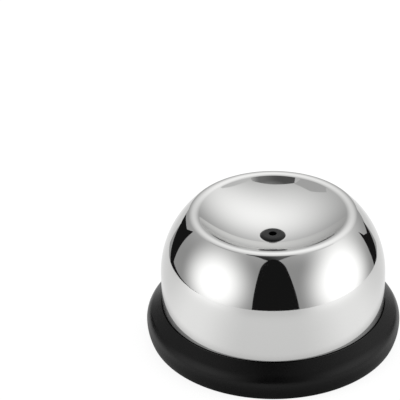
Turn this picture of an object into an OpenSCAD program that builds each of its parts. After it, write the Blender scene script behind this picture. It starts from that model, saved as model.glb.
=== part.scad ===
// Egg piercer. An egg is set in the dish and pressed down: the dome sinks on its spring, and the
// needle comes up through the bush. A knob in the underside draws the needle in for storing.
// The origin lies on the table, in the middle of the foot, with +Z up.

/* [Overall] */
// Outside diameter of the ring that it stands on
base_d = 57; // [54:0.5:62]
// Width of the ring outside its bore
ring_w = 3.4; // [3.2:0.1:3.8]
// Height from the table to the ridge of the rim
height = 30.6; // [30:0.2:34]
// Diameter of the rim's ridge
rim_d = 34.6; // [33:0.2:37]
// Depth of the dish below the ridge
dish_depth = 6.5; // [5.6:0.1:7]
// Radius of the dome's shoulder
shoulder_r = 20.5; // [19:0.5:22]
// Thickness of the dome's steel sheet
sheet_t = 0.8; // [0.6:0.1:1]

/* [Press action] */
// How far the dome can be pressed down
press_travel = 4; // [3.4:0.1:4.4]
// Thickness of the needle
needle_d = 1.2; // [1:0.1:1.4]
// How far the needle's point lies below the bush at rest
needle_sink = 0.8; // [0.6:0.1:1.2]
// Diameter of the bush's head
bush_d = 5.7; // [5.4:0.1:6.4]
// Thickness of the spring's wire
spring_wire_d = 0.9; // [0.7:0.1:1]
// Turns of the spring
spring_turns = 5; // [4:1:6]

/* [Needle lock] */
// Diameter of the knob's flange
knob_d = 19; // [18:0.5:20]
// How far the knob turns to draw the needle in
lock_angle = 90; // [70:5:100]

/* [Fits] */
// Radial gap of a running fit
running_gap = 0.1; // [0.05:0.01:0.1]
// Gap left between pieces at the end of a movement
end_gap = 0.4; // [0.3:0.05:0.5]

/* [Hidden] */
$fn = 96;
arc_step = 3;
past = 1;

// Ring: two arcs that meet where it is widest, and a straight flank from the upper one to the bore
ring_mid_z = 3.1;
ring_low_r = 6;
ring_high_r = 4.7;
ring_flank_turn = 56;
ring_bore_r = base_d / 2 - ring_w;
ring_flank_reach = ring_high_r - (ring_high_r - ring_w) * cos(ring_flank_turn);
ring_top_z = ring_mid_z + ring_flank_reach / sin(ring_flank_turn);
foot_t = 0.6;
foot_w = 3.1;
groove_depth = 1.3;

// Base plate: a disc in the ring's groove, with a hub in the middle
plate_r = ring_bore_r + groove_depth;
plate_t = 1.6;
plate_top_z = foot_t + plate_t;

// Dome: straight wall, shoulder, rim and dish, each arc tangent to the next
dome_r = ring_bore_r - running_gap;
dome_edge_z = plate_top_z + end_gap + press_travel;
rim_r = 1.8;
rim_x = rim_d / 2;
rim_z = height - rim_r;
shoulder_x = dome_r - shoulder_r;
shoulder_z = rim_z - sqrt(pow(shoulder_r - rim_r, 2) - pow(rim_x - shoulder_x, 2));
dish_drop = dish_depth - rim_r;
dish_r = (pow(rim_x, 2) + pow(dish_drop, 2) - pow(rim_r, 2)) / (2 * (rim_r + dish_drop));
dish_centre_z = height - dish_depth + dish_r;
shoulder_turn = atan2(rim_z - shoulder_z, rim_x - shoulder_x);
rim_turn = atan2(dish_centre_z - rim_z, -rim_x);

// Bush: its head sits on a flat in the middle of the dish
seat_margin = 0.25;
seat_r = bush_d / 2 + seat_margin;
seat_z = dish_centre_z - sqrt(pow(dish_r, 2) - pow(seat_r, 2));
bush_head_h = 0.65;
bush_edge_h = 0.25;
bush_crown_z = seat_z + bush_head_h;
bush_lip = 1;
bush_shank_r = bush_d / 2 - bush_lip;
needle_clearance = 0.35;
bush_bore_r = needle_d / 2 + needle_clearance;
bush_tail = 1.1;
bush_tail_edge = 0.2;
bush_end_z = seat_z - sheet_t - bush_tail;
push_nut_t = 0.6;
push_nut_w = 1.75;
push_nut_r = bush_shank_r + push_nut_w;

// Knob, its retainer and the hub around it
axial_gap = 0.1;
retainer_z = 0.2;
retainer_t = 0.9;
knob_r = knob_d / 2;
knob_clearance = 0.3;
recess_r = knob_r + knob_clearance;
knob_flange_z = retainer_z + retainer_t + axial_gap;
knob_flange_t = 1.7;
recess_top_z = knob_flange_z + knob_flange_t + axial_gap;
hub_wall = 4.6;
hub_r = recess_r + hub_wall;
hub_roof_t = 1.4;
hub_top_z = recess_top_z + hub_roof_t;
retainer_hold = 1.9;
retainer_hole_r = knob_r - retainer_hold;
grip_r = retainer_hole_r - knob_clearance;
grip_z = retainer_z + axial_gap;
grip_wall = 1;
grip_bar_w = 3;
grip_depth = 1.7;

// Guide tube on the hub, and the clip that keeps the slider on it
guide_r = 5.5;
guide_bore_r = 4.3;
guide_top_z = bush_end_z - press_travel - end_gap;
clip_t = 0.6;
clip_w = 2.4;
clip_groove = 0.5;
clip_mouth = 70;
clip_land = 0.4;
clip_z = guide_top_z - clip_land - clip_t;

// Slider inside the dome: a rim in the dome's wall, a web and a cup over the spring
slider_wall = 1.2;
slider_web_t = 1.4;
slider_web_z = hub_top_z + press_travel + end_gap;
slider_rim_h = 6;
slider_top_z = clip_z - axial_gap;
spring_space = 3.3;
slider_cup_r = guide_r + spring_space;
slider_ribs = 6;
rib_h = 2;

// Spring between the hub and the top of the slider's cup
spring_r = (guide_r + slider_cup_r) / 2;
spring_h = slider_top_z - slider_wall - hub_top_z;
rings_per_turn = 24;
wire_sides = 8;

// Needle, its carrier and the cross pin that the knob's slots lift
lock_spare = 0.4;
lock_travel = press_travel - needle_sink + lock_spare;
pin_d = 1.2;
pin_gap = 0.3;
stem_r = guide_bore_r - running_gap;
stem_bore_r = 2.9;
stem_foot_h = 1;
stem_floor_z = knob_flange_z + knob_flange_t + stem_foot_h;
carrier_r = stem_bore_r - running_gap;
carrier_above = 3;
carrier_below = 3;
carrier_sink = 2.4;
carrier_top_z = guide_top_z - carrier_sink;
pin_z = carrier_top_z - carrier_above;
pin_engage = 0.5;
pin_reach = guide_bore_r + pin_engage;
keyway_spare = 0.2;
keyway_r = pin_reach + keyway_spare;
stem_over_pin = 2.4;
stem_top_z = pin_z + stem_over_pin;
slot_spare = 0.1;
slot_steps = 9;
needle_tip_z = bush_crown_z - needle_sink;
needle_hold = 2;
needle_point = 2.2;
needle_tip_d = 0.1;

// Friction ring on the knob's stem
o_ring_d = 0.7;
o_ring_gap = 0.05;
o_ring_rise = 1.6;
o_ring_x = guide_bore_r - o_ring_gap - o_ring_d / 2;
o_ring_z = stem_floor_z + o_ring_rise;

// Screws of the retainer
screw_count = 3;
screw_x = recess_r + hub_wall / 2;
screw_head_r = 1.9;
screw_shank_r = 0.95;
screw_length = 3.7;
screw_first = 30;
cross_l = 2.8;
cross_w = 0.5;
cross_depth = 0.5;

// Colours
steel = "silver";
black_rubber = "#262626";
black_plastic = "#303030";
grey_plastic = "#8a8a8a";

// Points of an arc about a centre, from one angle to another
function arc(centre, r, from, to) =
    let (steps = ceil(abs(to - from) / arc_step))
    [for (i = [0:steps])
        let (a = from + (to - from) * i / steps)
        centre + r * [cos(a), sin(a)]];

// One ring of points around the spring's wire
function wire_ring(i) =
    let (a = 360 * i / rings_per_turn,
         rise = (spring_h - spring_wire_d) * i / (spring_turns * rings_per_turn),
         z = hub_top_z + spring_wire_d / 2 + rise)
    [for (j = [0:wire_sides - 1])
        let (b = 360 * j / wire_sides,
             x = spring_r + spring_wire_d / 2 * cos(b))
        [x * cos(a), x * sin(a), z + spring_wire_d / 2 * sin(b)]];

// A disc with a hole through it
module washer(outer_r, inner_r, z, h) {
    translate([0, 0, z])
        difference() {
            cylinder(r = outer_r, h = h);
            translate([0, 0, -past])
                cylinder(r = inner_r, h = h + 2 * past);
        }
}

// Children set at each screw's place
module at_screws() {
    for (i = [0:screw_count - 1])
        rotate(screw_first + 360 * i / screw_count)
            translate([screw_x, 0, retainer_z])
                children();
}

module base_ring() {
    low_centre = [base_d / 2 - ring_low_r, ring_mid_z];
    high_centre = [base_d / 2 - ring_high_r, ring_mid_z];
    toe_turn = -asin(ring_mid_z / ring_low_r);
    foot_inner_r = ring_bore_r - foot_w;
    color(black_rubber)
        rotate_extrude()
            polygon(concat(
                [[foot_inner_r, 0]],
                arc(low_centre, ring_low_r, toe_turn, 0),
                arc(high_centre, ring_high_r, 0, ring_flank_turn),
                [[ring_bore_r, ring_top_z],
                 [ring_bore_r, plate_top_z],
                 [plate_r, plate_top_z],
                 [plate_r, foot_t],
                 [foot_inner_r, foot_t]]));
}

module base_plate() {
    color(black_plastic)
        difference() {
            union() {
                translate([0, 0, foot_t])
                    cylinder(r = plate_r, h = plate_t);
                translate([0, 0, foot_t])
                    cylinder(r = hub_r, h = hub_top_z - foot_t);
                translate([0, 0, foot_t])
                    cylinder(r = guide_r, h = guide_top_z - foot_t);
            }
            translate([0, 0, -past])
                cylinder(r = guide_bore_r, h = guide_top_z + 2 * past);
            translate([0, 0, -past])
                cylinder(r = recess_r, h = recess_top_z + past);
            translate([0, 0, -past])
                cylinder(r = hub_r + running_gap, h = retainer_z + retainer_t + past);
            washer(guide_r + past, guide_r - clip_groove, clip_z, clip_t);
            keyways();
            at_screws()
                cylinder(r = screw_shank_r, h = screw_length);
        }
}

// The two grooves in the guide tube that keep the cross pin from turning
module keyways() {
    keyway_w = pin_d + pin_gap;
    translate([-keyway_r, -keyway_w / 2, recess_top_z - past])
        cube([2 * keyway_r, keyway_w, pin_z + keyway_w - recess_top_z + past]);
}

module knob_retainer() {
    color(black_plastic)
        difference() {
            washer(hub_r, retainer_hole_r, retainer_z, retainer_t);
            at_screws() {
                cylinder(r1 = screw_head_r, r2 = screw_shank_r, h = retainer_t);
                cylinder(r = screw_shank_r, h = screw_length);
            }
        }
}

module retainer_screws() {
    color(steel)
        at_screws()
            difference() {
                union() {
                    cylinder(r1 = screw_head_r, r2 = screw_shank_r, h = retainer_t);
                    cylinder(r = screw_shank_r, h = screw_length);
                }
                for (turn = [0, 90])
                    rotate(turn)
                        cube([cross_l, cross_w, 2 * cross_depth], center = true);
            }
}

module slider_clip() {
    inner_r = guide_r - clip_groove;
    color(steel)
        rotate([0, 0, clip_mouth / 2])
            rotate_extrude(angle = 360 - clip_mouth)
                translate([inner_r, clip_z])
                    square([clip_w, clip_t]);
}

module return_spring() {
    last = spring_turns * rings_per_turn;
    points = [for (i = [0:last], p = wire_ring(i)) p];
    sides = [for (i = [0:last - 1], j = [0:wire_sides - 1])
        let (a = i * wire_sides + j,
             b = i * wire_sides + (j + 1) % wire_sides,
             c = b + wire_sides,
             d = a + wire_sides)
        each [[a, c, b], [a, d, c]]];
    start_cap = [for (j = [0:wire_sides - 1]) j];
    end_cap = [for (j = [wire_sides - 1:-1:0]) last * wire_sides + j];
    turn_points = rings_per_turn * wire_sides;
    coil_gap = min([for (i = [0:len(points) - turn_points - 1])
        norm(points[i + turn_points] - points[i])]) - spring_wire_d;
    echo(str("least gap between the spring's turns: ", coil_gap, " mm"));
    color(steel)
        polyhedron(points = points, faces = concat(sides, [start_cap, end_cap]));
}

module dome_shell() {
    shoulder_centre = [shoulder_x, shoulder_z];
    rim_centre = [rim_x, rim_z];
    dish_centre = [0, dish_centre_z];
    seat_turn = 270 + asin(seat_r / dish_r);
    outside = concat(
        [[dome_r, dome_edge_z]],
        arc(shoulder_centre, shoulder_r, 0, shoulder_turn),
        arc(rim_centre, rim_r, shoulder_turn, rim_turn),
        arc(dish_centre, dish_r, rim_turn + 180, seat_turn),
        [[bush_shank_r, seat_z]]);
    inside = concat(
        [[bush_shank_r, seat_z - sheet_t]],
        [[seat_r, seat_z - sheet_t]],
        arc(dish_centre, dish_r + sheet_t, seat_turn, rim_turn + 180),
        arc(rim_centre, rim_r - sheet_t, rim_turn, shoulder_turn),
        arc(shoulder_centre, shoulder_r - sheet_t, shoulder_turn, 0),
        [[dome_r - sheet_t, dome_edge_z]]);
    color(steel)
        rotate_extrude()
            polygon(concat(outside, inside));
}

module dome_slider() {
    rim_outer_r = dome_r - sheet_t;
    rim_inner_r = rim_outer_r - slider_wall;
    rim_top_z = dome_edge_z + slider_rim_h;
    cup_outer_r = slider_cup_r + slider_wall;
    web_top_z = slider_web_z + slider_web_t;
    bore_r = guide_r + running_gap;
    color(grey_plastic) {
        rotate_extrude()
            polygon([
                [bore_r, slider_top_z],
                [bore_r, slider_top_z - slider_wall],
                [slider_cup_r, slider_top_z - slider_wall],
                [slider_cup_r, slider_web_z],
                [rim_inner_r, slider_web_z],
                [rim_inner_r, dome_edge_z],
                [rim_outer_r, dome_edge_z],
                [rim_outer_r, rim_top_z],
                [rim_inner_r, rim_top_z],
                [rim_inner_r, web_top_z],
                [cup_outer_r, web_top_z],
                [cup_outer_r, slider_top_z]]);
        slider_rib_set(cup_outer_r, rim_inner_r, web_top_z);
    }
}

// Radial ribs on the web, each let into the cup, the rim and the web
module slider_rib_set(inner_r, outer_r, z) {
    let_in = slider_wall / 2;
    for (i = [0:slider_ribs - 1])
        rotate(360 * (i + 0.5) / slider_ribs)
            translate([inner_r - let_in, -slider_wall / 2, z - let_in])
                cube([outer_r - inner_r + 2 * let_in, slider_wall, rib_h + let_in]);
}

module needle_bush() {
    rise = bush_head_h - bush_edge_h;
    crown_r = (pow(bush_d / 2, 2) + pow(rise, 2)) / (2 * rise);
    color(black_plastic)
        difference() {
            union() {
                intersection() {
                    translate([0, 0, seat_z])
                        cylinder(r = bush_d / 2, h = bush_head_h + past);
                    translate([0, 0, bush_crown_z - crown_r])
                        sphere(r = crown_r);
                }
                translate([0, 0, bush_end_z])
                    cylinder(r = bush_shank_r, h = seat_z - bush_end_z);
            }
            translate([0, 0, bush_end_z - past])
                cylinder(r = bush_bore_r, h = bush_crown_z - bush_end_z + 2 * past);
            translate([0, 0, bush_end_z])
                cylinder(r1 = bush_shank_r - bush_tail_edge, r2 = bush_bore_r, h = bush_tail);
        }
}

module bush_push_nut() {
    color(steel)
        washer(push_nut_r, bush_shank_r, seat_z - sheet_t - push_nut_t, push_nut_t);
}

module lock_knob() {
    color(grey_plastic)
        difference() {
            union() {
                translate([0, 0, knob_flange_z])
                    cylinder(r = knob_r, h = knob_flange_t);
                translate([0, 0, grip_z])
                    cylinder(r = grip_r, h = knob_flange_z + knob_flange_t - grip_z);
                translate([0, 0, knob_flange_z])
                    cylinder(r = stem_r, h = stem_top_z - knob_flange_z);
            }
            translate([0, 0, stem_floor_z])
                cylinder(r = stem_bore_r, h = height);
            washer(stem_r + past, o_ring_x - o_ring_d / 2, o_ring_z - o_ring_d / 2, o_ring_d);
            grip_pockets();
            helical_slots();
        }
}

// Two pockets that leave a bar between them for finger and thumb
module grip_pockets() {
    difference() {
        translate([0, 0, grip_z - past])
            cylinder(r = grip_r - grip_wall, h = grip_depth + past);
        cube([2 * grip_r, grip_bar_w, height], center = true);
    }
}

// Both slots of the stem at once: holes right through it, each turned and lowered a little more
module helical_slots() {
    slot_r = (pin_d + pin_gap) / 2 + slot_spare;
    for (i = [0:slot_steps])
        translate([0, 0, pin_z - lock_travel * i / slot_steps])
            rotate([0, 90, -lock_angle * i / slot_steps])
                cylinder(r = slot_r, h = 2 * (stem_r + past), center = true);
}

module knob_o_ring() {
    color(black_rubber)
        rotate_extrude()
            translate([o_ring_x, o_ring_z])
                circle(d = o_ring_d);
}

module needle() {
    color(steel) {
        translate([0, 0, carrier_top_z - needle_hold])
            cylinder(d = needle_d, h = needle_tip_z - needle_point - carrier_top_z + needle_hold);
        translate([0, 0, needle_tip_z - needle_point])
            cylinder(d1 = needle_d, d2 = needle_tip_d, h = needle_point);
    }
}

module needle_carrier() {
    color(grey_plastic)
        difference() {
            translate([0, 0, pin_z - carrier_below])
                cylinder(r = carrier_r, h = carrier_above + carrier_below);
            translate([0, 0, carrier_top_z - needle_hold])
                cylinder(d = needle_d, h = needle_hold + past);
            translate([0, 0, pin_z])
                rotate([0, 90, 0])
                    cylinder(d = pin_d, h = 2 * pin_reach, center = true);
        }
}

module cross_pin() {
    color(steel)
        translate([0, 0, pin_z])
            rotate([0, 90, 0])
                cylinder(d = pin_d, h = 2 * pin_reach, center = true);
}

base_ring();
base_plate();
knob_retainer();
retainer_screws();
slider_clip();
return_spring();
dome_shell();
dome_slider();
needle_bush();
bush_push_nut();
lock_knob();
knob_o_ring();
needle();
needle_carrier();
cross_pin();
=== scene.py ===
"""Egg piercer: polished dome, rubber ring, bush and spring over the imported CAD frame, in a light tent."""

import math
from typing import NamedTuple

import bmesh
import bpy
from mathutils import Matrix, Vector


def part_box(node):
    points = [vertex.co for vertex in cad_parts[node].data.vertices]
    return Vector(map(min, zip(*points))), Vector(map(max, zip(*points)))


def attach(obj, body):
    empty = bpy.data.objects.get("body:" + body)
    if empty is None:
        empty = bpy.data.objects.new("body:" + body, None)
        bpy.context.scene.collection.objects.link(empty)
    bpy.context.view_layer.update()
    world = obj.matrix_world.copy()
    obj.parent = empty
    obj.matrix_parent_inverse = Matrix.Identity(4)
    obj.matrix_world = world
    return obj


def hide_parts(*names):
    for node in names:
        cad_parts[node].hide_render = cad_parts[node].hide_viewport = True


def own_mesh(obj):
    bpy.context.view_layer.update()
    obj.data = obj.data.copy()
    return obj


bl_info = {
    "name": "Egg Piercer",
    "version": (1, 0, 0),
    "blender": (4, 5, 0),
    "location": "3D View > Sidebar > Egg Piercer",
    "description": "Builds an egg piercer over its CAD frame, with a light tent around it",
    "category": "Object",
}

MM = 0.001

# The camera: pixels across its image, the width of its sensor, and the nearest distance that it sees
IMAGE_WIDTH = 400
SENSOR_MM = 36
CLIP_START = 10 * MM

# Sizes of the patches that a polishing wheel leaves, and that handling shines
BUFFED_MM = 7
HANDLED_MM = 5

# Roughness of the shiniest and the dullest patches of a mirror polish, satin steel and a turned face
MIRROR_ROUGHNESS = (0.02, 0.05)
SATIN_ROUGHNESS = (0.2, 0.38)
TURNED_ROUGHNESS = (0.2, 0.28)

# Depth of the grain in steel and of a turning tool's marks, and how strongly relief is drawn
STEEL_GRAIN_DEPTH = 0.02 * MM
TURNED_MARK_DEPTH = 0.004 * MM
STEEL_RELIEF = 0.15
PLASTIC_RELIEF = 0.4

# The range that a noise pattern's values mostly keep to, and a ring pattern's radians to a unit of length
NOISE_LOW = 0.3
NOISE_HIGH = 0.7
RING_RADIANS = 20

# Facets of the turned pieces, and of the spring's wire for each turn and around it
SEGMENTS = 288
WIRE_RINGS = 48
WIRE_SIDES = 12

# Degrees from one point of an arc to the next: where it mirrors, inside the dome, and on the stage
POLISHED_STEP = 0.75
INSIDE_STEP = 4
STAGE_STEP = 15

# Edges that turn by more than this are drawn sharp
SHARP_EDGE = math.radians(35)

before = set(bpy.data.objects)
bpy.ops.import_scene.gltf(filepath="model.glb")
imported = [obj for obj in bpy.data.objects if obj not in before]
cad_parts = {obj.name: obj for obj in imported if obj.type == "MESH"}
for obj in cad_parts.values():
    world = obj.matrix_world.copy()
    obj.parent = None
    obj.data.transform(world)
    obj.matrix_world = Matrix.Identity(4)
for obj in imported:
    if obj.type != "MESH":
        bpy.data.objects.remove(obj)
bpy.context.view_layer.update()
DOME_LOW, DOME_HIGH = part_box("dome_shell")
_, RING_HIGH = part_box("base_ring")
BUSH_LOW, BUSH_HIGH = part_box("needle_bush")
PLATE_LOW, PLATE_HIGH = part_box("base_plate")
SPRING_LOW, SPRING_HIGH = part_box("return_spring")


def length(name, description, value):
    """A length property with its default in metres."""
    return bpy.props.FloatProperty(
        name=name, description=description, default=value, min=0.0, unit="LENGTH", precision=5
    )


def angle(name, description, degrees):
    """An angle property with its default in degrees."""
    return bpy.props.FloatProperty(
        name=name, description=description, default=math.radians(degrees), subtype="ANGLE"
    )


def number(name, description, value):
    """A plain number that isn't negative."""
    return bpy.props.FloatProperty(name=name, description=description, default=value, min=0.0)


def linear(hex_code):
    """An sRGB hex code as linear red, green, blue and alpha."""
    channels = [int(hex_code[i : i + 2], 16) / 255 for i in (1, 3, 5)]
    curve = [c / 12.92 if c <= 0.04045 else ((c + 0.055) / 1.055) ** 2.4 for c in channels]
    return (*curve, 1.0)


def colour(name, description, hex_code):
    """A colour property with its default given as an sRGB hex code."""
    return bpy.props.FloatVectorProperty(
        name=name, description=description, default=linear(hex_code), size=4, min=0, max=1, subtype="COLOR"
    )


class EggPiercerDome(bpy.types.PropertyGroup):
    """Sizes of the pressed dome."""

    radius: length("Radius", "Outside radius of the straight wall", DOME_HIGH.x)
    shoulder: length("Shoulder radius", "Radius of the arc from the wall to the rim", 20.5 * MM)
    rim: length("Rim radius", "Radius of the rounded rim", 1.8 * MM)
    rim_across: length("Rim diameter", "Diameter of the rim's ridge", 34.6 * MM)
    dish_depth: length("Dish depth", "Depth of the dish below the ridge", 6.5 * MM)
    sheet: length("Sheet thickness", "Thickness of the steel sheet", 0.8 * MM)
    seat: length("Seat radius", "Radius of the flat that the bush sits on", 3.1 * MM)


class EggPiercerBush(bpy.types.PropertyGroup):
    """Sizes of the bush in the dish."""

    shank: length("Shank radius", "Radius below the head, and of the hole in the dish", 1.85 * MM)
    bore: length("Bore radius", "Radius of the hole that the needle comes through", 0.88 * MM)
    head: length("Head height", "Height of the head above its seat", 0.45 * MM)
    head_edge: angle("Head edge", "Slope of the head's rounding where it meets the seat", 50)
    lip: length("Bore rounding", "Radius of the edge around the hole", 0.06 * MM)
    funnel: length("Funnel height", "Height of the funnel that leads the needle into the bore", 1.1 * MM)
    funnel_wall: length("Funnel wall", "Width of the foot around the funnel's mouth", 0.2 * MM)


class EggPiercerRing(bpy.types.PropertyGroup):
    """Sizes of the rubber ring."""

    low_arc: length("Lower arc", "Radius of the outside below its widest level", 9 * MM)
    high_arc: length("Upper arc", "Radius of the outside above its widest level", 3.4 * MM)
    widest: length("Widest level", "Height at which the ring is widest", 3.5 * MM)
    flank: angle("Flank", "Turn of the upper arc before the straight flank", 51)
    bore: length("Bore radius", "Radius of the bore around the dome", 25.1 * MM)
    lip: length("Lip", "Width of the eased edge at the bore", 0.12 * MM)
    toe: length("Toe rounding", "Radius of the edge at the table", 0.5 * MM)
    foot: length("Foot radius", "Inner radius of the foot", 22 * MM)
    slot: length("Slot height", "Height of the slot that holds the base plate", 1.6 * MM)
    tread_start: length("First groove", "Radius of the innermost groove in the foot", 23.3 * MM)
    tread_pitch: length("Groove pitch", "Distance from one groove to the next", 1.4 * MM)
    tread_width: length("Groove width", "Width of a groove at the table", 0.6 * MM)
    tread_depth: length("Groove depth", "Depth of the grooves", 0.3 * MM)
    treads: bpy.props.IntProperty(name="Grooves", description="Grooves in the foot", default=3, min=0)


class EggPiercerSpring(bpy.types.PropertyGroup):
    """Sizes of the return spring."""

    wire: length("Wire", "Diameter of the spring's wire", 0.9 * MM)
    turns: bpy.props.IntProperty(name="Turns", description="Turns of the spring", default=5, min=1)


class EggPiercerFinish(bpy.types.PropertyGroup):
    """Colours of the pieces."""

    steel: colour("Polished steel", "Mirror-polished stainless sheet", "#CBCBCA")
    bright_steel: colour("Bright steel", "Zinc-plated and drawn steel pieces", "#B9BABC")
    rubber: colour("Rubber", "Black rubber of the ring", "#0C0C0C")
    plastic: colour("Black plastic", "Base plate and retainer", "#1A1A1B")
    bush: colour("Bush", "Bush in the dish", "#0D0D0E")
    knob: colour("Knob", "Lock knob", "#3A3A3C")
    grey: colour("Grey plastic", "Slider and needle carrier", "#9A9B9D")


class EggPiercerStage(bpy.types.PropertyGroup):
    """Camera, table and light tent."""

    distance: length("Camera distance", "Distance from the camera to its aim point", 400 * MM)
    elevation: angle("Camera elevation", "Angle of the camera above the table", 32.45)
    aim_height: length("Aim height", "Height of the aim point on the piercer's axis", 15 * MM)
    lens: number("Lens", "Focal length in millimetres on a 36 mm sensor", 161.0)
    frame_right: number("Right of centre", "Pixels that the aim point lies right of the centre", 72.75)
    frame_below: number("Below centre", "Pixels that the aim point lies below the centre", 70.75)
    tent_radius: length("Tent radius", "Radius of the light tent", 1500 * MM)
    fabric: number("Fabric glow", "Glow of the tent's walls away from the lamps", 0.42)
    table: colour("Table", "White table", "#F7F7F7")
    table_share: number("Table share", "Share of the table's own white against its lit surface", 0.8)
    table_white: number("Table white", "The table's own white to the camera", 1.1)
    # Painted light: in the metal the table's white is painted brighter near the piercer and dimmer at its
    # edge.
    painted_light_near: number("Mirrored white, near", "The table's own white in the metal, near the piercer", 0.98)
    painted_light_far: number("Mirrored white, far", "The table's own white in the metal, at its edge", 0.84)


def arc_points(centre, radius, start, end, step=1.5, stretch=1.0):
    """Points of an arc, with its second coordinate stretched; angles in degrees."""
    count = max(2, math.ceil(abs(end - start) / step))
    turns = [math.radians(start + (end - start) * i / count) for i in range(count + 1)]
    return [(centre[0] + radius * math.cos(t), centre[1] + radius * stretch * math.sin(t)) for t in turns]


def mesh_object(name, vertices, faces, material):
    """A smooth-shaded mesh object in the scene, with its sharp edges kept."""
    mesh = bpy.data.meshes.new(name)
    mesh.from_pydata(vertices, [], faces)
    mesh.update()
    mesh.shade_smooth()
    mesh.set_sharp_from_angle(angle=SHARP_EDGE)
    mesh.materials.append(material)
    obj = bpy.data.objects.new(name, mesh)
    bpy.context.scene.collection.objects.link(obj)
    return obj


def band(here, there, count):
    """Faces between two closed loops of points, given the first point of each."""
    after = [(i + 1) % count for i in range(count)]
    return [(here + i, there + i, there + after[i], here + after[i]) for i in range(count)]


def lathe(name, section, material):
    """A closed section turned about the Z axis; it runs anticlockwise, seen with the axis at the left."""
    count = len(section)
    vertices, faces = [], []
    for i in range(SEGMENTS):
        turn = 2 * math.pi * i / SEGMENTS
        vertices += [(r * math.cos(turn), r * math.sin(turn), z) for r, z in section]
        faces += band(i * count, (i + 1) % SEGMENTS * count, count)
    return mesh_object(name, vertices, faces, material)


def stand_for(piece, body, node):
    """Lets a piece ride on a body in place of a CAD node, which it hides."""
    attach(piece, body)
    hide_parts(node)


def add_node(tree, kind, settings=None, inputs=None):
    """Adds a node, sets its options, and fills or links its input sockets."""
    node = tree.nodes.new(kind)
    for key, value in (settings or {}).items():
        setattr(node, key, value)
    for socket, value in (inputs or {}).items():
        if isinstance(value, bpy.types.NodeSocket):
            tree.links.new(value, node.inputs[socket])
        else:
            node.inputs[socket].default_value = value
    return node


def new_material(name):
    """A material with an empty node tree."""
    material = bpy.data.materials.new(name)
    material.use_nodes = True
    material.node_tree.nodes.clear()
    return material, material.node_tree


def patches(tree, size_mm, low, high, detail=2.0):
    """A value that wanders between low and high over patches of about that size."""
    place = add_node(tree, "ShaderNodeTexCoord")
    cloud = add_node(
        tree,
        "ShaderNodeTexNoise",
        inputs={"Vector": place.outputs["Object"], "Scale": 1 / (size_mm * MM), "Detail": detail},
    )
    spread = add_node(
        tree,
        "ShaderNodeMapRange",
        inputs={
            "Value": cloud.outputs["Fac"],
            "From Min": NOISE_LOW,
            "From Max": NOISE_HIGH,
            "To Min": low,
            "To Max": high,
        },
    )
    return spread.outputs["Result"]


def polished_steel(name, tint):
    """Sheet polished on a wheel: a near mirror, a little softer in cloudy patches."""
    material, tree = new_material(name)
    shader = add_node(
        tree,
        "ShaderNodeBsdfPrincipled",
        inputs={
            "Base Color": tint,
            "Metallic": 1.0,
            "Roughness": patches(tree, BUFFED_MM, *MIRROR_ROUGHNESS),
        },
    )
    add_node(tree, "ShaderNodeOutputMaterial", inputs={"Surface": shader.outputs["BSDF"]})
    return material


def drawn_steel(name, tint, grain_mm):
    """Drawn, ground or plated steel: brighter and duller grains give a satin metal."""
    material, tree = new_material(name)
    relief = add_node(
        tree,
        "ShaderNodeBump",
        inputs={
            "Height": patches(tree, grain_mm, 0.0, 1.0, detail=4),
            "Strength": STEEL_RELIEF,
            "Distance": STEEL_GRAIN_DEPTH,
        },
    )
    shader = add_node(
        tree,
        "ShaderNodeBsdfPrincipled",
        inputs={
            "Base Color": tint,
            "Metallic": 1.0,
            "Roughness": patches(tree, grain_mm, *SATIN_ROUGHNESS, detail=4),
            "Normal": relief.outputs["Normal"],
        },
    )
    add_node(tree, "ShaderNodeOutputMaterial", inputs={"Surface": shader.outputs["BSDF"]})
    return material


def moulded(name, tint, grain_mm, depth_mm, smooth, rough, gloss=0.5):
    """Moulded rubber or plastic: the grain breaks up the highlights, and handling shines it in patches."""
    material, tree = new_material(name)
    relief = add_node(
        tree,
        "ShaderNodeBump",
        inputs={
            "Height": patches(tree, grain_mm, 0.0, 1.0, detail=3),
            "Strength": PLASTIC_RELIEF,
            "Distance": depth_mm * MM,
        },
    )
    shader = add_node(
        tree,
        "ShaderNodeBsdfPrincipled",
        inputs={
            "Base Color": tint,
            "Roughness": patches(tree, HANDLED_MM, smooth, rough),
            "Specular IOR Level": gloss,
            "Normal": relief.outputs["Normal"],
        },
    )
    add_node(tree, "ShaderNodeOutputMaterial", inputs={"Surface": shader.outputs["BSDF"]})
    return material


def turned_plastic(name, tint, pitch_mm, gloss):
    """Plastic turned on a lathe: fine rings about the bore, and a satin face."""
    material, tree = new_material(name)
    place = add_node(tree, "ShaderNodeTexCoord")
    rings = add_node(
        tree,
        "ShaderNodeTexWave",
        {"wave_type": "RINGS", "rings_direction": "Z"},
        {"Vector": place.outputs["Object"], "Scale": 2 * math.pi / RING_RADIANS / (pitch_mm * MM)},
    )
    relief = add_node(
        tree,
        "ShaderNodeBump",
        inputs={
            "Height": rings.outputs["Fac"],
            "Strength": PLASTIC_RELIEF,
            "Distance": TURNED_MARK_DEPTH,
        },
    )
    shader = add_node(
        tree,
        "ShaderNodeBsdfPrincipled",
        inputs={
            "Base Color": tint,
            "Roughness": patches(tree, HANDLED_MM, *TURNED_ROUGHNESS),
            "Specular IOR Level": gloss,
            "Normal": relief.outputs["Normal"],
        },
    )
    add_node(tree, "ShaderNodeOutputMaterial", inputs={"Surface": shader.outputs["BSDF"]})
    return material


def dish_arc(dome):
    """Centre and radius of the dish's arc, which runs into the rim without a step."""
    drop = dome.dish_depth - dome.rim
    radius = ((dome.rim_across / 2) ** 2 + drop**2 - dome.rim**2) / (2 * (dome.rim + drop))
    return (0.0, DOME_HIGH.z - dome.dish_depth + radius), radius


def bush_seat(dome):
    """Height of the flat in the dish that the bush sits on."""
    centre, radius = dish_arc(dome)
    return centre[1] - math.sqrt(radius**2 - dome.seat**2)


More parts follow.
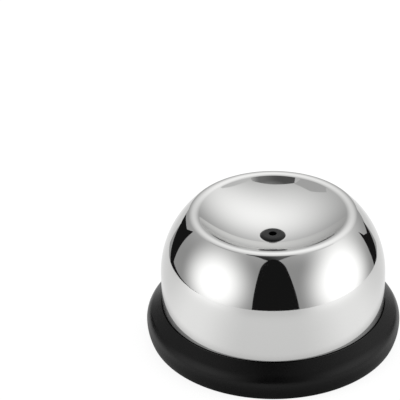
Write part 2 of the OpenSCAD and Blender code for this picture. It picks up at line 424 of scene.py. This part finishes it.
class EGGPIERCER_OT_dome(bpy.types.Operator):
    """Build the polished dome with its dish"""

    bl_idname = "egg_piercer.dome"
    bl_label = "Dome"

    def execute(self, context):
        dome = context.scene.egg_piercer_dome
        hole = context.scene.egg_piercer_bush.shank
        # Centres of the arcs, each of which runs into the next without a step
        rim = (dome.rim_across / 2, DOME_HIGH.z - dome.rim)
        across = dome.radius - dome.shoulder
        reach = dome.shoulder - dome.rim
        shoulder = (across, rim[1] - math.sqrt(reach**2 - (rim[0] - across) ** 2))
        dish, dish_radius = dish_arc(dome)
        # Directions in which the arcs meet, and in which the dish ends at the bush's seat
        to_rim = math.degrees(math.atan2(rim[1] - shoulder[1], rim[0] - shoulder[0]))
        to_dish = math.degrees(math.atan2(dish[1] - rim[1], -rim[0]))
        to_seat = 270 + math.degrees(math.asin(dome.seat / dish_radius))
        seat = bush_seat(dome)
        # Outside, from the rounded edge of the sheet over the rim and down the dish to the bush's hole
        edge = dome.sheet / 2
        section = arc_points((dome.radius - edge, DOME_LOW.z + edge), edge, -180, 0, step=15)
        section += arc_points(shoulder, dome.shoulder, 0, to_rim, step=POLISHED_STEP)
        section += arc_points(rim, dome.rim, to_rim, to_dish)[1:]
        section += arc_points(dish, dish_radius, to_dish + 180, to_seat, step=POLISHED_STEP)[1:]
        section += [(hole, seat), (hole, seat - dome.sheet)]
        # Back inside, one thickness of the sheet away
        section += arc_points(dish, dish_radius + dome.sheet, to_seat, to_dish + 180, step=INSIDE_STEP)
        section += arc_points(rim, dome.rim - dome.sheet, to_dish, to_rim, step=10)[1:]
        section += arc_points(shoulder, dome.shoulder - dome.sheet, to_rim, 0, step=INSIDE_STEP)[1:]
        steel = polished_steel("Stainless steel, wheel polished", context.scene.egg_piercer_finish.steel)
        stand_for(lathe("polished_dome", section, steel), "dome", "dome_shell")
        return {"FINISHED"}


class EGGPIERCER_OT_ring(bpy.types.Operator):
    """Build the rubber ring with its rounded edges and the grooves in its foot"""

    bl_idname = "egg_piercer.ring"
    bl_label = "Ring"

    def execute(self, context):
        ring = context.scene.egg_piercer_ring
        # Centres of the two arcs of the outside, and the place of the toe that runs into the lower one
        low = (RING_HIGH.x - ring.low_arc, ring.widest)
        high = (RING_HIGH.x - ring.high_arc, ring.widest)
        toe_x = low[0] + math.sqrt((ring.low_arc - ring.toe) ** 2 - (ring.widest - ring.toe) ** 2)
        to_toe = math.degrees(math.atan2(ring.toe - ring.widest, toe_x - low[0]))
        # The straight flank would meet the bore at this height.
        rise = ring.high_arc - (ring.bore - high[0]) * math.cos(ring.flank)
        top = ring.widest + rise / math.sin(ring.flank)
        lip_top = top - ring.lip / math.tan(ring.flank)
        slot_low = PLATE_LOW.z
        slot_high = PLATE_LOW.z + ring.slot
        section = [(ring.foot, 0.0)]
        # A groove's floor is half as wide as its mouth.
        for i in range(ring.treads):
            middle = ring.tread_start + i * ring.tread_pitch
            for side in (-1, 1):
                mouth = (middle + side * ring.tread_width / 2, 0.0)
                floor = (middle + side * ring.tread_width / 4, ring.tread_depth)
                section += [mouth, floor][::-side]
        section += arc_points((toe_x, ring.toe), ring.toe, -90, to_toe, step=6)
        section += arc_points(low, ring.low_arc, to_toe, 0)[1:]
        section += arc_points(high, ring.high_arc, 0, math.degrees(ring.flank))[1:]
        section += [(ring.bore + ring.lip, lip_top), (ring.bore, top - ring.lip)]
        section += [(ring.bore, slot_high), (PLATE_HIGH.x, slot_high)]
        section += [(PLATE_HIGH.x, slot_low), (ring.foot, slot_low)]
        # Compression moulding leaves a soft sheen; its grain of 0.05 mm or so is drawn coarser to show.
        rubber = moulded(
            "Rubber, compression moulded",
            context.scene.egg_piercer_finish.rubber,
            grain_mm=0.35,
            depth_mm=0.012,
            smooth=0.24,
            rough=0.32,
            gloss=0.165,
        )
        stand_for(lathe("rubber_ring", section, rubber), "base", "base_ring")
        return {"FINISHED"}


class EGGPIERCER_OT_bush(bpy.types.Operator):
    """Build the bush with its rounded head and the funnel below its bore"""

    bl_idname = "egg_piercer.bush"
    bl_label = "Bush"

    def execute(self, context):
        bush = context.scene.egg_piercer_bush
        seat = bush_seat(context.scene.egg_piercer_dome)
        top = seat + bush.head
        tail = BUSH_LOW.z
        # The head's flat rounds off in an arc that comes down to the seat at this slope.
        rounding = bush.head / (1 - math.cos(bush.head_edge))
        flat = BUSH_HIGH.x - rounding * math.sin(bush.head_edge)
        steepest = 90 - math.degrees(bush.head_edge)
        section = [(bush.shank - bush.funnel_wall, tail), (bush.shank, tail), (bush.shank, seat)]
        section += arc_points((flat, top - rounding), rounding, steepest, 90, step=3)
        section += arc_points((bush.bore + bush.lip, top - bush.lip), bush.lip, 90, 180, step=10)
        section += [(bush.bore, tail + bush.funnel)]
        # Turning marks are about 0.05 mm apart, and are drawn coarser so that they show.
        tint = context.scene.egg_piercer_finish.bush
        plastic = turned_plastic("Acetal, turned", tint, pitch_mm=0.25, gloss=0.2)
        stand_for(lathe("guide_bush", section, plastic), "dome", "needle_bush")
        return {"FINISHED"}


class EGGPIERCER_OT_spring(bpy.types.Operator):
    """Build the return spring as a round wire"""

    bl_idname = "egg_piercer.spring"
    bl_label = "Spring"

    def execute(self, context):
        spring = context.scene.egg_piercer_spring
        wire = spring.wire / 2
        radius = SPRING_HIGH.x - wire
        low, high = SPRING_LOW.z + wire, SPRING_HIGH.z - wire
        rings = WIRE_RINGS * spring.turns
        vertices, faces = [], []
        for i in range(rings + 1):
            turn = 2 * math.pi * i / WIRE_RINGS
            z = low + (high - low) * i / rings
            for j in range(WIRE_SIDES):
                around = 2 * math.pi * j / WIRE_SIDES
                r = radius + wire * math.cos(around)
                vertices.append((r * math.cos(turn), r * math.sin(turn), z + wire * math.sin(around)))
        for i in range(rings):
            faces += band(i * WIRE_SIDES, (i + 1) * WIRE_SIDES, WIRE_SIDES)
        # The wire's two ends
        faces.append(tuple(range(WIRE_SIDES)))
        faces.append(tuple(rings * WIRE_SIDES + j for j in reversed(range(WIRE_SIDES))))
        # A drawing die leaves a dull shine with fine streaks, drawn coarser than the real 0.02 mm.
        tint = context.scene.egg_piercer_finish.bright_steel
        steel = drawn_steel("Spring wire, drawn", tint, grain_mm=0.25)
        coil = mesh_object("coil_spring", vertices, faces, steel)
        stand_for(coil, "base", "return_spring")
        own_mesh(coil)
        return {"FINISHED"}


class EGGPIERCER_OT_hardware(bpy.types.Operator):
    """Give the plates, knob, screws, needle and inner pieces their materials"""

    bl_idname = "egg_piercer.hardware"
    bl_label = "Plates, knob and inner pieces"

    def execute(self, context):
        finish = context.scene.egg_piercer_finish
        # Zinc gives screws and clips a frosted look, and grinding a finer one; both are drawn coarser here.
        zinc = drawn_steel("Steel, zinc plated", finish.bright_steel, grain_mm=0.4)
        ground = drawn_steel("Steel, ground", finish.bright_steel, grain_mm=0.25)
        # A spark-eroded mould gives an even matt grain of about 0.03 mm, drawn coarser so that it shows.
        black = moulded(
            "ABS, spark-eroded mould",
            finish.plastic,
            grain_mm=0.3,
            depth_mm=0.03,
            smooth=0.5,
            rough=0.62,
        )
        knob = moulded(
            "ABS, fine spark-eroded mould",
            finish.knob,
            grain_mm=0.2,
            depth_mm=0.015,
            smooth=0.42,
            rough=0.55,
        )
        # A plain mould leaves a waxy face with long soft highlights.
        grey = moulded(
            "Acetal, plain moulded",
            finish.grey,
            grain_mm=0.5,
            depth_mm=0.01,
            smooth=0.35,
            rough=0.45,
        )
        # A small moulded seal is a duller black than the ring.
        seal = moulded(
            "Nitrile rubber, moulded",
            finish.rubber,
            grain_mm=0.3,
            depth_mm=0.01,
            smooth=0.38,
            rough=0.48,
        )
        wears = {
            "base_plate": black,
            "knob_retainer": black,
            "retainer_screws": zinc,
            "slider_clip": zinc,
            "bush_push_nut": zinc,
            "dome_slider": grey,
            "needle_carrier": grey,
            "lock_knob": knob,
            "knob_o_ring": seal,
            "needle": ground,
            "cross_pin": ground,
        }
        for name, material in wears.items():
            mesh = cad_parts[name].data
            for index in range(len(mesh.materials)):
                mesh.materials[index] = material
        return {"FINISHED"}


class Lamp(NamedTuple):
    """A lamp behind the fabric: its place, the angles over which its glow fades, and the glow."""

    azimuth: float
    elevation: float
    core: float
    reach: float
    glow: float


class Fade(NamedTuple):
    """Light on a cloth that rises to its glow from start to end along one axis of a tent of radius 1."""

    axis: str
    start: float
    end: float
    glow: float


# Azimuths go from the camera's side towards +X and elevations up from the table, in degrees.
LAMPS = (
    Lamp(azimuth=-62, elevation=14, core=10, reach=47, glow=1.4),
    Lamp(azimuth=73.5, elevation=8.5, core=12, reach=49, glow=1.45),
    Lamp(azimuth=112, elevation=40, core=0, reach=55, glow=0.45),
    Lamp(azimuth=180, elevation=62, core=0, reach=75, glow=1.0),
)

# Facets of the tent around and from top to bottom
TENT_SEGMENTS = 72
TENT_RINGS = 36

# Where the cloths hang, as shares of the tent's radius: the curtain in front, then the flap, then the rest
CURTAIN_SHARE = 0.94
FLAP_SHARE = 0.96
CLOTH_SHARE = 0.97

# The arch at the curtain's top: its middle, half of its width, and its height as a share of that
ARCH_MIDDLE = (0.85, 44)
ARCH_REACH = 18.15
ARCH_SHARE = 0.83

# Cloths inside the tent, with their corners as (azimuth, elevation)
CURTAIN = (
    *arc_points(ARCH_MIDDLE, ARCH_REACH, 0, 180, step=STAGE_STEP, stretch=ARCH_SHARE),
    (-20.2, -12), (25.9, -12),
)
FLAP = (
    (-52, 62.5), (-31, 59.6), (-9, 57), (9, 57), (31, 59.6), (52, 62),
    (56, 67), (30, 75.8), (0, 78.2), (-31, 76.6), (-63, 67.6),
)
LEFT_WING = ((-66, 56), (-64, 68), (-82, 64), (-100, 57), (-112, 42), (-100, 44))
RIGHT_WING = ((50, 58), (86, 47), (100, 42), (104, 45), (90, 55.5), (58, 65))
LEFT_GAP = (
    (-149, -1.5), (-138, 6.5), (-130, 11), (-122.5, 20), (-120, -8.6), (-102.6, -8.5),
    (-76, -6.9), (-112, -14), (-125.8, -13.5), (-132, -11), (-142, -3.6),
)
RIGHT_GAP = (
    (121.5, -14), (122, -2), (126.7, 12.5), (129, 5.5),
    (135, -0.2), (144, -0.5), (136, -11.5), (131, -14),
)

# How much the cloths glow, and the light that falls on the flap away from its lower left
BLACK_GLOW = 0.012
LEFT_WING_GLOW = 0.58
RIGHT_WING_GLOW = 0.78
FLAP_GLOW = 0.03
FLAP_FADES = (
    Fade(axis="Z", start=0.85, end=0.93, glow=0.085),
    Fade(axis="Z", start=0.955, end=0.98, glow=0.12),
    Fade(axis="X", start=-0.1, end=0.2, glow=0.11),
    Fade(axis="X", start=0.2, end=0.42, glow=0.5),
)

# The table top, in millimetres and degrees: a round front, and a wide sheet behind a notch at each side
TABLE_MIDDLE = (0, -90)
TABLE_RADIUS = 165
TABLE_LEFT_NOTCH = 121
TABLE_RIGHT_NOTCH = 59
TABLE_FRONT_STRETCH = 1.36
TABLE = (
    *arc_points(TABLE_MIDDLE, TABLE_RADIUS, TABLE_LEFT_NOTCH, 180, step=STAGE_STEP),
    *arc_points(TABLE_MIDDLE, TABLE_RADIUS, 180, 360, step=STAGE_STEP, stretch=TABLE_FRONT_STRETCH)[1:-1],
    *arc_points(TABLE_MIDDLE, TABLE_RADIUS, 0, TABLE_RIGHT_NOTCH, step=STAGE_STEP),
    (78, 71), (280, 360), (-280, 360), (-78, 71),
)

# Distances from the piercer's axis between which the light on the table changes
TABLE_NEAR = 60 * MM
TABLE_FAR = 160 * MM

# Pools of lamplight that the metal sees on the table, and their strength near the piercer and away from it
POOLS = (
    Lamp(azimuth=-64, elevation=0, core=4, reach=45, glow=1.0),
    Lamp(azimuth=66, elevation=0, core=4, reach=50, glow=1.0),
)
POOL_NEAR_GLOW = 0.36
POOL_FAR_GLOW = 0.8

# The shadow that the metal sees around its own foot: where it starts and ends, and the light left in it
SHADE_INNER = 28 * MM
SHADE_OUTER = 37 * MM
SHADE_GLOW = 0.2

# Light fades in and out without a visible edge
EASED = {"interpolation_type": "SMOOTHSTEP"}


def on_tent(azimuth, elevation, radius=1.0):
    """A point of the tent."""
    turn = math.radians(azimuth)
    rise = math.radians(elevation)
    level = math.cos(rise)
    return Vector((math.sin(turn) * level, -math.cos(turn) * level, math.sin(rise))) * radius


def chord(degrees):
    """The straight distance between two points of a tent of radius 1 that are this far apart."""
    return 2 * math.sin(math.radians(degrees) / 2)


def lamplight(tree, place, lamps, base):
    """The glow at a place: a base, with a soft spot around each lamp's direction."""
    unit = add_node(tree, "ShaderNodeVectorMath", {"operation": "NORMALIZE"}, {0: place})
    glow = base
    for lamp in lamps:
        spot = on_tent(lamp.azimuth, lamp.elevation)
        away = add_node(
            tree, "ShaderNodeVectorMath", {"operation": "DISTANCE"}, {0: unit.outputs["Vector"], 1: spot}
        )
        spill = add_node(
            tree,
            "ShaderNodeMapRange",
            EASED,
            {
                "Value": away.outputs["Value"],
                "From Min": chord(lamp.core),
                "From Max": chord(lamp.reach),
                "To Min": lamp.glow,
                "To Max": 0.0,
            },
        )
        total = add_node(
            tree, "ShaderNodeMath", {"operation": "ADD"}, {0: glow, 1: spill.outputs["Result"]}
        )
        glow = total.outputs["Value"]
    return glow


def glowing(material, tree, glow):
    """Ends a material of the tent with the light that it gives off."""
    shader = add_node(tree, "ShaderNodeEmission", inputs={"Strength": glow})
    add_node(tree, "ShaderNodeOutputMaterial", inputs={"Surface": shader.outputs["Emission"]})
    return material


def tent_fabric(stage):
    """White nylon lit from outside: an even glow with soft spots where lamps stand behind it."""
    material, tree = new_material("Nylon, woven white")
    place = add_node(tree, "ShaderNodeTexCoord")
    return glowing(material, tree, lamplight(tree, place.outputs["Object"], LAMPS, stage.fabric))


def even_cloth(name, glow):
    """Cloth inside the tent that is lit evenly."""
    material, tree = new_material(name)
    return glowing(material, tree, glow)


def flap_cloth():
    """A fold of the roof over the curtain: nearly dark, and lighter towards the roof and the right."""
    material, tree = new_material("Nylon, folded")
    place = add_node(tree, "ShaderNodeTexCoord")
    unit = add_node(tree, "ShaderNodeVectorMath", {"operation": "NORMALIZE"}, {0: place.outputs["Object"]})
    along = add_node(tree, "ShaderNodeSeparateXYZ", inputs={0: unit.outputs["Vector"]})
    glow = FLAP_GLOW
    for fade in FLAP_FADES:
        spill = add_node(
            tree,
            "ShaderNodeMapRange",
            EASED,
            {
                "Value": along.outputs[fade.axis],
                "From Min": fade.start,
                "From Max": fade.end,
                "To Min": 0.0,
                "To Max": fade.glow,
            },
        )
        total = add_node(
            tree, "ShaderNodeMath", {"operation": "ADD"}, {0: glow, 1: spill.outputs["Result"]}
        )
        glow = total.outputs["Value"]
    return glowing(material, tree, glow)


def seen_directly(tree):
    """One for rays that see a surface itself: from the camera, in a mirror or through glass."""
    path = add_node(tree, "ShaderNodeLightPath").outputs
    seen = path["Is Camera Ray"]
    for kind in ("Is Glossy Ray", "Is Transmission Ray"):
        either = add_node(tree, "ShaderNodeMath", {"operation": "MAXIMUM"}, {0: seen, 1: path[kind]})
        seen = either.outputs["Value"]
    return seen


def mirrored_table(tree, stage):
    """The table's light as the metal sees it: pools of lamplight, and a shadow around its own foot."""
    place = add_node(tree, "ShaderNodeTexCoord").outputs["Object"]
    reach = add_node(tree, "ShaderNodeVectorMath", {"operation": "LENGTH"}, {0: place}).outputs["Value"]
    levels = []
    # Painted light: the pools and the table's white in the metal change with the distance from the piercer.
    for near, far in ((POOL_NEAR_GLOW, POOL_FAR_GLOW), (stage.painted_light_near, stage.painted_light_far)):
        level = add_node(
            tree,
            "ShaderNodeMapRange",
            EASED,
            {
                "Value": reach,
                "From Min": TABLE_NEAR,
                "From Max": TABLE_FAR,
                "To Min": near,
                "To Max": far,
            },
        )
        levels.append(level.outputs["Result"])
    pooled, plain = levels
    lit = add_node(
        tree,
        "ShaderNodeMath",
        {"operation": "MULTIPLY_ADD"},
        {0: lamplight(tree, place, POOLS, 0.0), 1: pooled, 2: plain},
    )
    shade = add_node(
        tree,
        "ShaderNodeMapRange",
        EASED,
        {
            "Value": reach,
            "From Min": SHADE_INNER,
            "From Max": SHADE_OUTER,
            "To Min": SHADE_GLOW,
            "To Max": 1.0,
        },
    )
    mirrored = add_node(
        tree,
        "ShaderNodeMath",
        {"operation": "MULTIPLY"},
        {0: lit.outputs["Value"], 1: shade.outputs["Result"]},
    )
    return mirrored.outputs["Value"]


def white_table(stage):
    """Matt white laminate: near white to the camera and the metal, with part of the piercer's shadow."""
    material, tree = new_material("Laminate, matt white")
    path = add_node(tree, "ShaderNodeLightPath")
    strength = add_node(
        tree,
        "ShaderNodeMapRange",
        inputs={
            "Value": path.outputs["Is Camera Ray"],
            "To Min": mirrored_table(tree, stage),
            "To Max": stage.table_white,
        },
    )
    glow = add_node(tree, "ShaderNodeEmission", inputs={"Strength": strength.outputs["Result"]})
    matt = add_node(tree, "ShaderNodeBsdfDiffuse", inputs={"Color": stage.table})
    share = add_node(
        tree, "ShaderNodeMath", {"operation": "MULTIPLY"}, {0: seen_directly(tree), 1: stage.table_share}
    )
    top = add_node(
        tree,
        "ShaderNodeMixShader",
        inputs={0: share.outputs["Value"], 1: matt.outputs["BSDF"], 2: glow.outputs["Emission"]},
    )
    # From below the table is clear, so that the piercer's foot shows.
    side = add_node(tree, "ShaderNodeNewGeometry")
    clear = add_node(tree, "ShaderNodeBsdfTransparent")
    shader = add_node(
        tree,
        "ShaderNodeMixShader",
        inputs={0: side.outputs["Backfacing"], 1: top.outputs["Shader"], 2: clear.outputs["BSDF"]},
    )
    add_node(tree, "ShaderNodeOutputMaterial", inputs={"Surface": shader.outputs["Shader"]})
    return material


class EGGPIERCER_OT_stage(bpy.types.Operator):
    """Set out the white table, the light tent and the camera"""

    bl_idname = "egg_piercer.stage"
    bl_label = "Stage"

    def execute(self, context):
        scene = context.scene
        stage = scene.egg_piercer_stage
        scene.view_settings.view_transform = "Standard"
        self.table(stage)
        self.tent(stage)
        self.room(scene)
        self.camera(scene, stage)
        return {"FINISHED"}

    def table(self, stage):
        """A round table top with a wider sheet behind it."""
        corners = [(x * MM, y * MM, 0.0) for x, y in TABLE]
        mesh_object("table", corners, [tuple(range(len(corners)))], white_table(stage))

    def tent(self, stage):
        """A round tent of lit fabric, with the black curtain in front and the other cloths inside it."""
        shell = bmesh.new()
        bmesh.ops.create_uvsphere(
            shell, u_segments=TENT_SEGMENTS, v_segments=TENT_RINGS, radius=stage.tent_radius
        )
        mesh = bpy.data.meshes.new("tent")
        shell.to_mesh(mesh)
        shell.free()
        mesh.materials.append(tent_fabric(stage))
        tent = bpy.data.objects.new("tent", mesh)
        bpy.context.scene.collection.objects.link(tent)
        near, middle, far = (
            share * stage.tent_radius for share in (CURTAIN_SHARE, FLAP_SHARE, CLOTH_SHARE)
        )
        black = even_cloth("Cotton, woven black", BLACK_GLOW)
        grey = even_cloth("Nylon, woven grey", LEFT_WING_GLOW)
        pale = even_cloth("Nylon, woven pale grey", RIGHT_WING_GLOW)
        cloths = (
            self.cloth("curtain", CURTAIN, near, black),
            self.cloth("flap", FLAP, middle, flap_cloth()),
            self.cloth("left_wing", LEFT_WING, far, grey),
            self.cloth("right_wing", RIGHT_WING, far, pale),
            self.cloth("left_gap", LEFT_GAP, far, black),
            self.cloth("right_gap", RIGHT_GAP, far, black),
        )
        for item in (tent, *cloths):
            item.visible_camera = False

    def cloth(self, name, outline, radius, material):
        """A cloth at that distance from the table's middle, with its corners as azimuths and elevations."""
        corners = [on_tent(azimuth, elevation, radius) for azimuth, elevation in outline]
        return mesh_object(name, corners, [tuple(range(len(corners)))], material)

    def room(self, scene):
        """The white room around the tent, as the camera and the metal see it."""
        world = bpy.data.worlds.new("Room")
        scene.world = world
        world.use_nodes = True
        tree = world.node_tree
        tree.nodes.clear()
        white = {"Color": linear("#FFFFFF"), "Strength": seen_directly(tree)}
        shader = add_node(tree, "ShaderNodeBackground", inputs=white)
        add_node(tree, "ShaderNodeOutputWorld", inputs={"Surface": shader.outputs["Background"]})

    def camera(self, scene, stage):
        """The photograph's view, turned up and to the left to place the piercer in the frame."""
        data = bpy.data.cameras.new("photo_camera")
        data.sensor_width = SENSOR_MM
        data.lens = stage.lens
        data.clip_start = CLIP_START
        pixels = IMAGE_WIDTH * stage.lens / SENSOR_MM
        back = Vector((0, -math.cos(stage.elevation), math.sin(stage.elevation)))
        place = Matrix.Translation(Vector((0, 0, stage.aim_height)) + back * stage.distance)
        level = Matrix.Rotation(math.pi / 2 - stage.elevation, 4, "X")
        yaw = Matrix.Rotation(math.atan(stage.frame_right / pixels), 4, "Y")
        pitch = Matrix.Rotation(math.atan(stage.frame_below / pixels), 4, "X")
        camera = bpy.data.objects.new("photo_camera", data)
        camera.matrix_world = place @ level @ yaw @ pitch
        scene.collection.objects.link(camera)
        scene.camera = camera


class EGGPIERCER_PT_panel(bpy.types.Panel):
    """Sidebar panel with the sizes, colours and build steps"""

    bl_idname = "EGGPIERCER_PT_panel"
    bl_label = "Egg Piercer"
    bl_space_type = "VIEW_3D"
    bl_region_type = "UI"
    bl_category = "Egg Piercer"

    def draw(self, context):
        for name in SETTINGS:
            box = self.layout.box()
            group = getattr(context.scene, name)
            for key in group.__annotations__:
                box.prop(group, key)
        for operator in OPERATORS:
            self.layout.operator(operator.bl_idname)


SETTINGS = {
    "egg_piercer_dome": EggPiercerDome,
    "egg_piercer_bush": EggPiercerBush,
    "egg_piercer_ring": EggPiercerRing,
    "egg_piercer_spring": EggPiercerSpring,
    "egg_piercer_finish": EggPiercerFinish,
    "egg_piercer_stage": EggPiercerStage,
}
OPERATORS = (
    EGGPIERCER_OT_dome,
    EGGPIERCER_OT_ring,
    EGGPIERCER_OT_bush,
    EGGPIERCER_OT_spring,
    EGGPIERCER_OT_hardware,
    EGGPIERCER_OT_stage,
)
CLASSES = (*SETTINGS.values(), *OPERATORS, EGGPIERCER_PT_panel)


def register():
    """Adds the classes and the scene's settings."""
    for cls in CLASSES:
        bpy.utils.register_class(cls)
    for name, group in SETTINGS.items():
        setattr(bpy.types.Scene, name, bpy.props.PointerProperty(type=group))


def unregister():
    """Removes the settings and the classes."""
    for name in SETTINGS:
        delattr(bpy.types.Scene, name)
    for cls in reversed(CLASSES):
        bpy.utils.unregister_class(cls)


def main():
    """Builds every piece and the stage."""
    register()
    bpy.ops.egg_piercer.dome()
    bpy.ops.egg_piercer.ring()
    bpy.ops.egg_piercer.bush()
    bpy.ops.egg_piercer.spring()
    bpy.ops.egg_piercer.hardware()
    bpy.ops.egg_piercer.stage()


if __name__ == "__main__":
    main()
